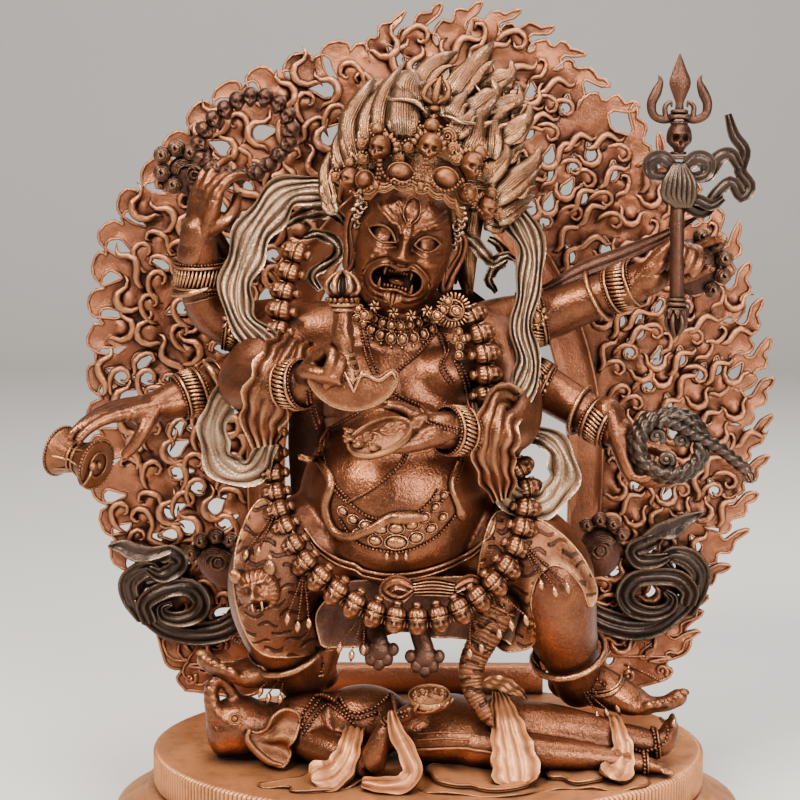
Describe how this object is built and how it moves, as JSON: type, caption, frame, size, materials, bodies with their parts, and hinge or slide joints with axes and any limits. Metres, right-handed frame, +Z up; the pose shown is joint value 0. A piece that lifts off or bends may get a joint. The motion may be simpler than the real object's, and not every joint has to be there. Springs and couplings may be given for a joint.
{
  "type": "mahakala figure",
  "caption": "Cast bronze wrathful six-armed guardian trampling an elephant-headed figure on a lotus plinth, before an openwork aureole of flames.",
  "frame": {"origin": "centre of the plinth's flat underside", "axes": "+Z up; the figure faces -Y; +X is to the viewer's right"},
  "size_m": [0.2453, 0.1568, 0.2817],
  "materials": {
    "warm_bronze": "warm copper-brown patina, satin, darker in the recesses",
    "pale_bronze": "lighter copper-brown patina, satin, fine cast grain",
    "dark_bronze": "near-black patina, semi-gloss",
    "brassy_bronze": "grey-brassy patina, satin, rubbed bright on the edges"
  },
  "bodies": {
    "root": {"lotus_base": "pale_bronze", "trampled_figure": "warm_bronze", "mahakala_figure": "warm_bronze", "flame_aureole": "pale_bronze", "trident_staff": "brassy_bronze", "hand_drum": "warm_bronze", "skull_rosary": "brassy_bronze", "rope_noose": "brassy_bronze", "left_scarf_end": "dark_bronze", "right_scarf_end": "dark_bronze"}
  },
  "joints": []
}
